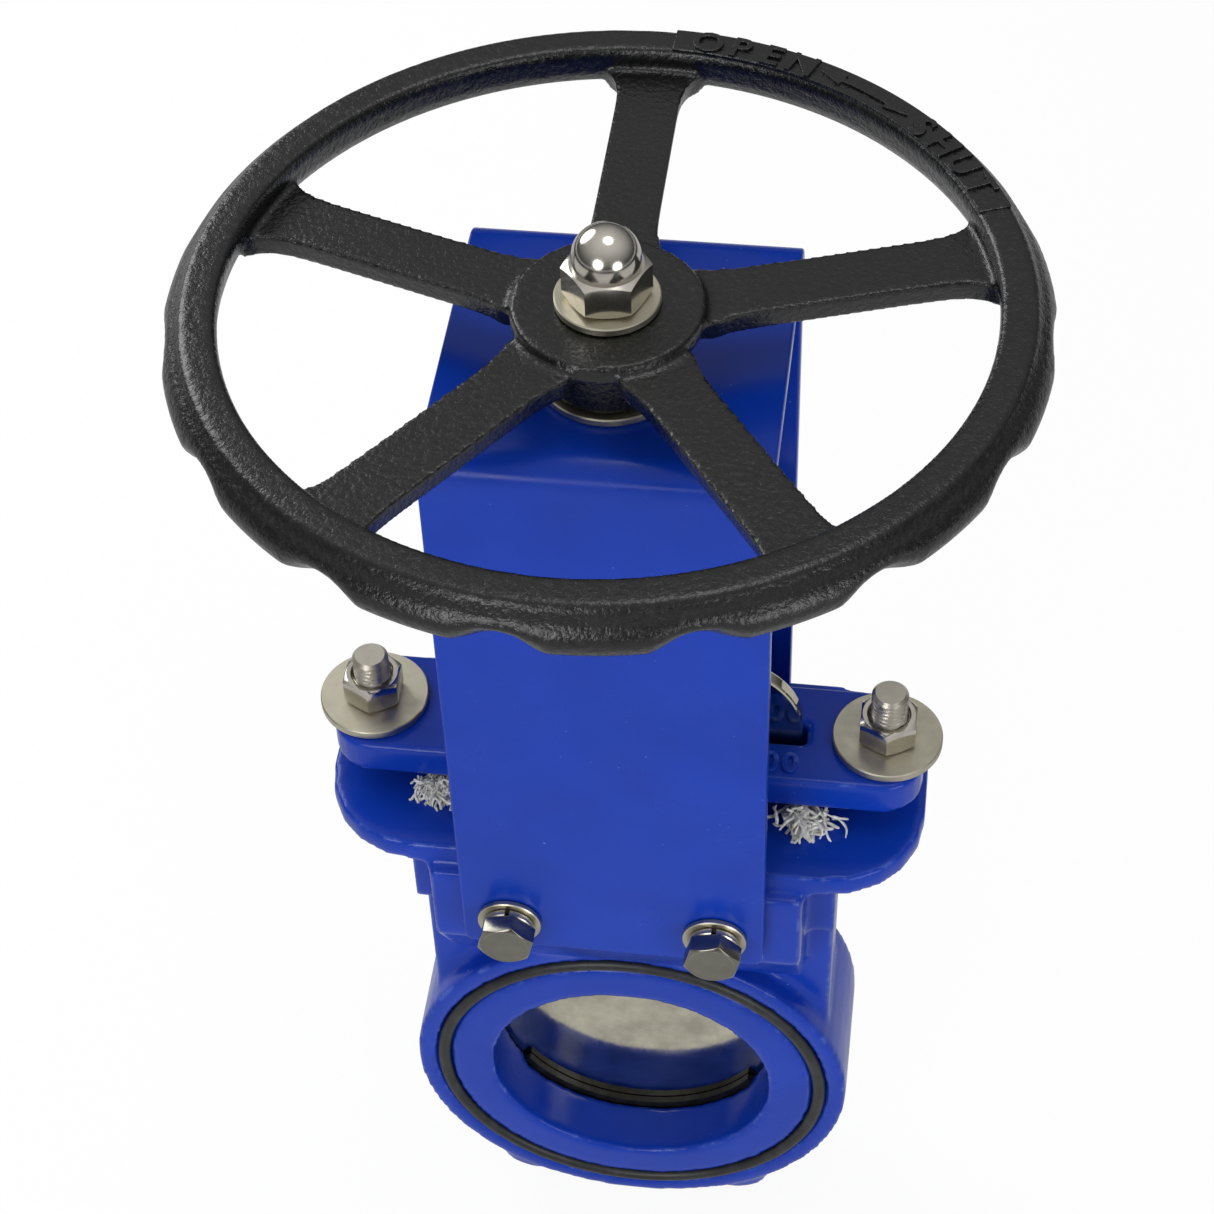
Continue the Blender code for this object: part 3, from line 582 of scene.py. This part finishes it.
def build_lettering(settings):
    """A raised pad on the rim's crown with OPEN, a double arrow and SHUT."""
    middle = WHEEL_RADIUS - 10.9 * MM
    pad_top = RIM_TOP + 0.5 * MM
    pad = arc_slab("pad", middle - 4.7 * MM, middle + 4.9 * MM, 22.5, 87.0,
                   RIM_TOP - 1.5 * MM, pad_top, 56)
    soften(pad, 0.35 * MM)
    dress(pad, WHEEL, "black_iron", "black_iron")
    pad.name = "lettering_pad"
    base, lift = pad_top - 0.2 * MM, 0.9 * MM
    for word, centre in (("OPEN", 74.0), ("SHUT", 35.6)):
        letters = [raised_letter(letter, centre + 5.1 * (1.5 - place), middle,
                                 settings.letter_height, base, lift)
                   for place, letter in enumerate(word)]
        raised = join_all(letters, f"raised_{word.lower()}")
        dress(raised, WHEEL, "black_iron", "black_iron")
    half = 0.9 * MM
    shaft = arc(STEM_X, STEM_Y, middle + half, 59.2, 50.8, 12)
    head = [polar(middle + 2.6 * MM, 50.8).xy, polar(middle, 46.6).xy,
            polar(middle - 2.6 * MM, 50.8).xy]
    back = arc(STEM_X, STEM_Y, middle - half, 50.8, 59.2, 12)
    tail = [polar(middle - 2.6 * MM, 59.2).xy, polar(middle, 63.4).xy,
            polar(middle + 2.6 * MM, 59.2).xy]
    arrow = slab("direction_arrow", (shaft + head + back + tail)[::-1], base, base + lift)
    soften(arrow, 0.2 * MM)
    dress(arrow, WHEEL, "black_iron", "black_iron")


# ---- fasteners ----------------------------------------------------------
def washer(name, inner, outer, low, high, centre=(0, 0), steps=72):
    edge = min(0.35 * MM, (high - low) / 4)
    return turned(name, [(inner, low + edge), (inner + edge, low), (outer - edge, low),
                         (outer, low + edge), (outer, high - edge), (outer - edge, high),
                         (inner + edge, high), (inner, high - edge)], steps, centre, closed=True)


def hex_block(name, flats, low, high, turn=0.0, chamfer_low=True, chamfer_high=True,
              centre=(0, 0), dish=0.0):
    """A hexagon whose corners are turned off at 30 degrees, as on a nut or a bolt head."""
    corner = flats / math.sqrt(3)
    outline = arc(centre[0], centre[1], corner, turn, turn + 300, 5)
    spare = 1 * MM      # the hexagon reaches past each chamfered end, which the profile cuts
    block = slab(name, outline, low - spare * chamfer_low, high + spare * chamfer_high)
    face, rise = flats * 0.475, (corner - flats * 0.475) * math.tan(math.radians(30))
    wide = corner * 1.05
    slope = (wide - face) * math.tan(math.radians(30))
    profile = [(0, low)]
    profile += [(face, low), (wide, low + slope)] if chamfer_low else [(wide, low - rise)]
    profile += [(wide, high - slope), (face, high)] if chamfer_high else [(wide, high + rise)]
    profile += [(face - dish, high - dish * 0.4), (0, high - dish * 0.4)] if dish else [(0, high)]
    if not chamfer_low:
        profile[0] = (0, low - rise)
    if not chamfer_high:
        profile[-1] = (0, high + rise)
    cut_away(block, turned("chamfer", profile, 72, centre), "INTERSECT")
    tidy_mesh(block, 0.000005)
    return block


def screw_bar(name, stations, pitch, centre=(0, 0), steps=40):
    """A turned bar from (radius, height, threaded) stations; threaded runs get a true helix."""
    rows = []
    for (r0, z0, _), (r1, z1, threaded) in zip(stations, stations[1:]):
        count = max(2, int((z1 - z0) / (pitch / 6))) if threaded else 1
        first = 0 if not rows else 1
        for k in range(first, count + 1):
            t = k / count
            rows.append((r0 + (r1 - r0) * t, z0 + (z1 - z0) * t, threaded and 0 < k < count))
    verts, faces = [], []
    for radius, z, threaded in rows:
        for step in range(steps):
            turn = step / steps
            r = radius
            if threaded:
                phase = (z / pitch - turn) % 1.0
                r -= 0.60 * pitch * (1 - min(1.0, 2.3 * min(phase, 1 - phase)))
            verts.append((centre[0] + r * math.cos(2 * math.pi * turn),
                          centre[1] + r * math.sin(2 * math.pi * turn), z))
    for row in range(len(rows) - 1):
        for step in range(steps):
            a, b = row * steps + step, row * steps + (step + 1) % steps
            faces.append((a, b, b + steps, a + steps))
    last = (len(rows) - 1) * steps
    faces.append(tuple(reversed(range(steps))))
    faces.append(tuple(range(last, last + steps)))
    return new_mesh(name, verts, faces=faces)


def build_gland_fasteners(settings):
    for name, side in SIDES:
        low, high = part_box(f"gland_stud_{name}")
        centre = ((low.x + high.x) / 2, (low.y + high.y) / 2)
        radius = (high.x - low.x) / 2
        nut_low, nut_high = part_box(f"gland_nut_{name}")
        stud = screw_bar(f"threaded_stud_{name}",
                         [(radius - 1 * MM, low.z, False), (radius, low.z + 1 * MM, False),
                          (radius, nut_high.z - 2 * MM, False),
                          (radius, high.z - 1.2 * MM, True), (radius - 1.1 * MM, high.z, False)],
                         1.75 * MM, centre)
        dress(stud, VALVE, "stainless", "stainless", f"gland_stud_{name}")
        flats = nut_high.x - nut_low.x
        nut = hex_block(f"hex_nut_{name}", flats, nut_low.z, nut_high.z, 90, centre=centre)
        cut_away(nut, turned("bore", [(0, nut_low.z - 0.01), (radius + 0.2 * MM, nut_low.z - 0.01),
                                      (radius + 0.2 * MM, nut_high.z - 1 * MM),
                                      (radius + 1.3 * MM, nut_high.z + 0.1 * MM),
                                      (0, nut_high.z + 0.1 * MM)], 48, centre))
        soften(nut, 0.12 * MM, 25)
        dress(nut, VALVE, "stainless", "polished", f"gland_nut_{name}")
        low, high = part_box(f"gland_washer_{name}")
        plate = washer(f"wide_washer_{name}", radius + 0.6 * MM, (high.x - low.x) / 2,
                       low.z, high.z, centre, 96)
        dress(plate, VALVE, "stainless", "washer", f"gland_washer_{name}")


def build_yoke_bolts(settings):
    for where, face in FACES:
        for hand, _side in SIDES:
            tag = f"{where}_{hand}"
            low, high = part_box(f"yoke_bolt_{tag}")
            centre = Vector(((low.x + high.x) / 2, 0, (low.z + high.z) / 2))
            outer = high.y if face > 0 else -low.y
            head_low, inner = outer - 6.4 * MM, abs(low.y if face > 0 else high.y)
            head = hex_block("head", 17 * MM, head_low, outer, 30 + 14 * face, chamfer_low=False,
                             dish=0.8 * MM)
            shank = screw_bar("shank", [(4 * MM, inner, False), (5 * MM, inner + 1 * MM, False),
                                        (5 * MM, head_low + 1 * MM, False)], 1.5 * MM, steps=24)
            cut_away(head, shank, "UNION")
            soften(head, 0.15 * MM, 28)
            lay_along_y(head, centre, face)
            tidy_mesh(head)
            head.name = f"hex_bolt_{tag}"
            dress(head, VALVE, "stainless", "bolt", f"yoke_bolt_{tag}")
            low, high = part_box(f"yoke_washer_{tag}")
            near, far = sorted((abs(low.y), abs(high.y)))
            flat = washer(f"flat_washer_{tag}", 5.4 * MM, (high.x - low.x) / 2, near, far)
            lay_along_y(flat, centre, face)
            tidy_mesh(flat)
            dress(flat, VALVE, "stainless", "washer", f"yoke_washer_{tag}")
            low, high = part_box(f"yoke_spring_washer_{tag}")
            near, far = sorted((abs(low.y), abs(high.y)))
            split = washer(f"split_washer_{tag}", 5.4 * MM, (high.x - low.x) / 2, near, far)
            slot = slab("slot", [(-0.5 * MM, 0), (1.1 * MM, 0), (0.5 * MM, 0.02),
                                 (-1.1 * MM, 0.02)], near - 0.001, far + 0.001)
            cut_away(split, slot)
            lay_along_y(split, centre, face)
            tidy_mesh(split)
            dress(split, VALVE, "stainless", "stainless", f"yoke_spring_washer_{tag}")


def build_hub_fasteners(settings):
    centre = (STEM_X, STEM_Y)
    low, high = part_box("wheel_washer")
    dress(washer("hub_washer", 7.3 * MM, (high.x - low.x) / 2, low.z, high.z, centre, 96),
          WHEEL, "stainless", "washer", "wheel_washer")
    low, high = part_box("cap_nut")
    hex_top = low.z + 11 * MM
    radius = 9.8 * MM
    nut = hex_block("domed_nut", 22 * MM, low.z, hex_top, 9, centre=centre)
    dome = [(0, hex_top - 3.3 * MM), (radius - 0.1 * MM, hex_top - 3.3 * MM)]
    dome += [(r, z) for r, z in arc(0, high.z - radius, radius, 0, 90, 20)][:-1] + [(0, high.z)]
    cut_away(nut, turned("dome", dome, 72, centre), "UNION")
    cut_away(nut, turned("bore", [(0, low.z - 0.01), (7.3 * MM, low.z - 0.01),
                                  (7.3 * MM, hex_top + 0.3 * MM), (0, hex_top + 0.3 * MM)],
                         40, centre))
    soften(nut, 0.15 * MM, 28)
    dress(nut, WHEEL, "stainless", "polished", "cap_nut")
    low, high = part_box("thrust_washer")
    dress(washer("hub_thrust_washer", 8.6 * MM, (high.x - low.x) / 2, low.z, high.z, centre, 96),
          VALVE, "stainless", "washer", "thrust_washer")


def build_stem(settings):
    """The lifting screw: 4 mm lead below the collar, plain journal above it."""
    low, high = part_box("stem")
    collar = (high.x - low.x) / 2
    bush_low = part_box("stem_bush")[0].z
    collar_top = bush_low - 0.3 * MM
    collar_low = collar_top - 6 * MM
    shoulder = HUB_TOP - 1 * MM
    stem = screw_bar("lifting_screw",
                     [(7 * MM, low.z, False), (8 * MM, low.z + 1 * MM, False),
                      (8 * MM, collar_low - 5 * MM, True), (7.2 * MM, collar_low - 4 * MM, False),
                      (7.2 * MM, collar_low, False), (collar - 0.5 * MM, collar_low, False),
                      (collar, collar_low + 0.5 * MM, False),
                      (collar, collar_top - 0.5 * MM, False),
                      (collar - 0.5 * MM, collar_top, False), (8 * MM, collar_top, False),
                      (8 * MM, shoulder, False), (7 * MM, shoulder, False),
                      (7 * MM, high.z, False)], 4 * MM, (STEM_X, STEM_Y), 48)
    dress(stem, WHEEL, "stainless", "stainless", "stem", angle=45)


# ---- seals and packing --------------------------------------------------
def build_seals(settings):
    for where, face in FACES:
        node = f"face_seal_{where}"
        low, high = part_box(node)
        cord = (high.y - low.y) / 2
        deselect()
        bpy.ops.mesh.primitive_torus_add(major_segments=144, minor_segments=24,
                                         major_radius=high.x - cord, minor_radius=cord)
        seal = bpy.context.object
        seal.name = f"cord_seal_{where}"
        seal.data.transform(Matrix.Translation((0, (low.y + high.y) / 2, 0))
                            @ Matrix.Rotation(math.radians(90), 4, "X"))
        dress(seal, VALVE, "rubber", "rubber", node, angle=60)


def strand(rng, anchor, out, shelf):
    """One frayed fibre: a thin tube from the packing, out and down on to the flange."""
    points = [Vector(anchor)]
    heading = Vector((out.x + rng.uniform(-0.9, 0.9), out.y + rng.uniform(-0.4, 0.4),
                      rng.uniform(-0.2, 0.9))).normalized()
    for _ in range(6):
        heading += Vector((rng.uniform(-0.7, 0.7), rng.uniform(-0.6, 0.6),
                           rng.uniform(-0.8, 0.3)))
        heading.normalize()
        step = points[-1] + heading * rng.uniform(0.9, 2.1) * MM
        step.z = max(step.z, shelf)
        points.append(step)
    return points


def build_packing_fray(settings):
    """Yarn ends that the gland has squeezed out at both ends of the packing, front and rear."""
    rng = random.Random(7)
    gland_low, gland_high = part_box("gland")
    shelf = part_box("packing_ring_4")[1].z - 2.4 * MM
    edge = gland_high.y - 4 * MM
    for hand, side in SIDES:
        curve = bpy.data.curves.new("fray", "CURVE")
        curve.dimensions = "3D"
        curve.bevel_depth = 0.42 * MM
        curve.bevel_resolution = 1
        curve.resolution_u = 2
        for number in range(settings.fibres):
            face = -1 if number % 4 else 1
            anchor = (side * rng.gauss(60 * MM, 3.6 * MM),
                      face * (edge + rng.uniform(-2.0, 4.5) * MM),
                      shelf + rng.uniform(0.4, 7.0) * MM)
            spline = curve.splines.new("NURBS")
            points = strand(rng, anchor, Vector((side * 0.15, face, 0)), shelf)
            spline.points.add(len(points) - 1)
            for slot, place in zip(spline.points, points):
                slot.co = (*place, 1)
                slot.radius = rng.uniform(0.5, 1.6)
            spline.use_endpoint_u = True
            spline.order_u = 3
        curve.use_fill_caps = True
        tuft = bpy.data.objects.new(f"packing_fray_{hand}", curve)
        bpy.context.scene.collection.objects.link(tuft)
        activate(tuft)
        bpy.ops.object.convert(target="MESH")
        tuft = bpy.context.object
        dress(tuft, VALVE, "packing", "fibre", angle=60)


def build_plain_nodes(settings):
    """Finishes for the CAD pieces whose own shape is right."""
    finish = {"seat_seal": "rubber", "stem_bush": "brass", "stem_nut": "brass",
              "wheel_key": "stainless"}
    finish.update({f"packing_ring_{k}": "fibre" for k in (1, 2, 3, 4)})
    for name, _side in SIDES:
        finish[f"nut_screw_{name}"] = "stainless"
        finish[f"nut_screw_nut_{name}"] = "stainless"
    for node, kind in finish.items():
        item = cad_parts[node]
        for slot in item.material_slots:
            slot.material = MATERIALS[kind]
        if not item.material_slots:
            item.data.materials.append(MATERIALS[kind])


# ---- stage --------------------------------------------------------------
CAMERA_PLACE = (0.0894, -0.5968, 0.8969)
CAMERA_YAW, CAMERA_PITCH, CAMERA_ROLL = 9.1155, 47.441, -2.3287
CAMERA_LENS = 84.34         # on a 36 mm sensor


def make_camera():
    yaw, pitch, roll = (math.radians(v) for v in (CAMERA_YAW, CAMERA_PITCH, CAMERA_ROLL))
    ahead = Vector((-math.sin(yaw) * math.cos(pitch), math.cos(yaw) * math.cos(pitch),
                    -math.sin(pitch)))
    right = Vector((math.cos(yaw), math.sin(yaw), 0))
    up = right.cross(ahead)
    tilted = right * math.cos(roll) + up * math.sin(roll)
    upright = up * math.cos(roll) - right * math.sin(roll)
    data = bpy.data.cameras.new("camera")
    data.lens, data.sensor_width = CAMERA_LENS, 36.0
    data.shift_x, data.shift_y = 0.0020, -0.0157
    data.clip_start = 0.01
    camera = bpy.data.objects.new("camera", data)
    bpy.context.scene.collection.objects.link(camera)
    turn = Matrix((tilted, upright, -ahead)).transposed().to_4x4()
    camera.matrix_world = Matrix.Translation(CAMERA_PLACE) @ turn
    bpy.context.scene.camera = camera


def lamp(name, place, target, size, watts):
    data = bpy.data.lights.new(name, "AREA")
    data.energy, data.size, data.shape = watts, size, "DISK"
    item = bpy.data.objects.new(name, data)
    bpy.context.scene.collection.objects.link(item)
    item.location = place
    item.rotation_euler = (Vector(target) - Vector(place)).to_track_quat("-Z", "Y").to_euler()


def build_stage(settings):
    scene = bpy.context.scene
    scene.view_settings.view_transform = "Standard"
    make_camera()
    middle = (0, 0, 0.18)
    lamp("key_softbox", (-0.45, -1.35, 0.70), middle, 0.75, 7.5)
    lamp("fill_softbox", (0.95, -1.05, 0.45), middle, 0.7, 5)
    lamp("back_softbox", (-1.0, 0.75, 0.95), middle, 0.9, 9)
    lamp("top_softbox", (0.15, 0.1, 1.6), middle, 0.6, 3)
    world = bpy.data.worlds.new("studio")
    world.use_nodes = True
    tree = world.node_tree
    scene.world = world
    rays = add(tree, "LightPath")
    seen = add(tree, "Math", {0: rays.outputs["Is Camera Ray"],
                              1: rays.outputs["Is Transmission Ray"]}, operation="MAXIMUM")
    place = add(tree, "TexCoord").outputs["Generated"]
    height = add(tree, "SeparateXYZ", {0: place}).outputs["Z"]
    room = add(tree, "MapRange", {"Value": height, "From Min": 0.0, "From Max": 1.0,
                                  "To Min": 0.05, "To Max": 0.75}).outputs["Result"]
    level = add(tree, "Mix", {0: seen.outputs[0], 2: room, 3: 1.0}, data_type="FLOAT")
    back = tree.nodes["Background"]
    back.inputs["Color"].default_value = (1, 1, 1, 1)
    tree.links.new(level.outputs[0], back.inputs["Strength"])
    deselect()
    bpy.ops.mesh.primitive_plane_add(size=12, location=(0, 0, CAD_BOX[0][2] - 0.002))
    floor = bpy.context.object
    floor.name = "floor"
    made, tree, shader, _place = start("pale_floor", Base_Color=(0.9, 0.9, 0.9, 1), Roughness=0.9)
    glow = add(tree, "Emission", {"Color": (1, 1, 1, 1), "Strength": 1.0})
    rays = add(tree, "LightPath")
    share = add(tree, "Math", {0: rays.outputs["Is Camera Ray"], 1: 0.93}, operation="MULTIPLY")
    dim = add(tree, "Emission", {"Color": (1, 1, 1, 1), "Strength": 0.62})
    inner = add(tree, "MixShader", {0: rays.outputs["Is Glossy Ray"], 1: shader.outputs[0],
                                    2: dim.outputs[0]})
    mixed = add(tree, "MixShader", {0: share.outputs[0], 1: inner.outputs[0],
                                    2: glow.outputs[0]})
    tree.links.new(mixed.outputs[0], tree.nodes["Material Output"].inputs["Surface"])
    floor.data.materials.append(made)


# ---- operators and panel ------------------------------------------------
def settings_of(context):
    return context.scene.valve_settings


class VALVE_OT_stage(bpy.types.Operator):
    """Camera, soft lamps and pale floor"""
    bl_idname = "valve.stage"
    bl_label = "Stage"

    def execute(self, context):
        build_stage(settings_of(context))
        return {"FINISHED"}


class VALVE_OT_finishes(bpy.types.Operator):
    """Make the paints, metals, rubber and fibre"""
    bl_idname = "valve.finishes"
    bl_label = "Finishes"

    def execute(self, context):
        make_finishes(settings_of(context))
        build_plain_nodes(settings_of(context))
        return {"FINISHED"}


class VALVE_OT_body(bpy.types.Operator):
    """Cast body with rounded edges"""
    bl_idname = "valve.body"
    bl_label = "Body casting"

    def execute(self, context):
        build_body(settings_of(context))
        return {"FINISHED"}


class VALVE_OT_gland(bpy.types.Operator):
    """Cast gland that presses the packing"""
    bl_idname = "valve.gland"
    bl_label = "Gland casting"

    def execute(self, context):
        build_gland(settings_of(context))
        return {"FINISHED"}


class VALVE_OT_yoke(bpy.types.Operator):
    """Yoke bent from one plate"""
    bl_idname = "valve.yoke"
    bl_label = "Yoke plate"

    def execute(self, context):
        build_yoke(settings_of(context))
        return {"FINISHED"}


class VALVE_OT_gate(bpy.types.Operator):
    """Ground stainless gate"""
    bl_idname = "valve.gate"
    bl_label = "Gate plate"

    def execute(self, context):
        build_gate(settings_of(context))
        return {"FINISHED"}


class VALVE_OT_handwheel(bpy.types.Operator):
    """Cast handwheel with five spokes and finger grips"""
    bl_idname = "valve.handwheel"
    bl_label = "Handwheel"

    def execute(self, context):
        build_handwheel(settings_of(context))
        return {"FINISHED"}


class VALVE_OT_lettering(bpy.types.Operator):
    """Raised OPEN and SHUT with their arrow"""
    bl_idname = "valve.lettering"
    bl_label = "Wheel lettering"

    def execute(self, context):
        build_lettering(settings_of(context))
        return {"FINISHED"}


class VALVE_OT_hub_fasteners(bpy.types.Operator):
    """Domed nut and washers on the hub"""
    bl_idname = "valve.hub_fasteners"
    bl_label = "Hub fasteners"

    def execute(self, context):
        build_hub_fasteners(settings_of(context))
        return {"FINISHED"}


class VALVE_OT_gland_fasteners(bpy.types.Operator):
    """Studs, nuts and wide washers on the gland"""
    bl_idname = "valve.gland_fasteners"
    bl_label = "Gland fasteners"

    def execute(self, context):
        build_gland_fasteners(settings_of(context))
        return {"FINISHED"}


class VALVE_OT_yoke_bolts(bpy.types.Operator):
    """Hexagon bolts with flat and split washers"""
    bl_idname = "valve.yoke_bolts"
    bl_label = "Yoke bolts"

    def execute(self, context):
        build_yoke_bolts(settings_of(context))
        return {"FINISHED"}


class VALVE_OT_stem(bpy.types.Operator):
    """Lifting screw with its collar"""
    bl_idname = "valve.stem"
    bl_label = "Lifting screw"

    def execute(self, context):
        build_stem(settings_of(context))
        return {"FINISHED"}


class VALVE_OT_seals(bpy.types.Operator):
    """Round rubber cords in the pipe faces"""
    bl_idname = "valve.seals"
    bl_label = "Face seals"

    def execute(self, context):
        build_seals(settings_of(context))
        return {"FINISHED"}


class VALVE_OT_packing_fray(bpy.types.Operator):
    """Frayed yarn at the ends of the packing"""
    bl_idname = "valve.packing_fray"
    bl_label = "Packing fray"

    def execute(self, context):
        build_packing_fray(settings_of(context))
        return {"FINISHED"}


OPERATORS = (VALVE_OT_stage, VALVE_OT_finishes, VALVE_OT_body, VALVE_OT_gland, VALVE_OT_yoke,
             VALVE_OT_gate, VALVE_OT_handwheel, VALVE_OT_lettering, VALVE_OT_hub_fasteners,
             VALVE_OT_gland_fasteners, VALVE_OT_yoke_bolts, VALVE_OT_stem, VALVE_OT_seals,
             VALVE_OT_packing_fray)


class VALVE_PT_panel(bpy.types.Panel):
    """Sizes, colours and build steps of the valve"""
    bl_idname = "VALVE_PT_panel"
    bl_label = "Knife gate valve"
    bl_space_type = "VIEW_3D"
    bl_region_type = "UI"
    bl_category = "Valve"

    def draw(self, context):
        column = self.layout.column()
        for name in ValveSettings.__annotations__:
            column.prop(settings_of(context), name)
        for step in OPERATORS:
            column.operator(step.bl_idname)


def register():
    for kind in (ValveSettings, *OPERATORS, VALVE_PT_panel):
        bpy.utils.register_class(kind)
    bpy.types.Scene.valve_settings = PointerProperty(type=ValveSettings)


def unregister():
    del bpy.types.Scene.valve_settings
    for kind in reversed((ValveSettings, *OPERATORS, VALVE_PT_panel)):
        bpy.utils.unregister_class(kind)


def main():
    register()
    for step in OPERATORS:
        group, name = step.bl_idname.split(".")
        if getattr(getattr(bpy.ops, group), name)() != {"FINISHED"}:
            raise RuntimeError(f"{step.bl_label} did not finish")


if __name__ == "__main__":
    main()
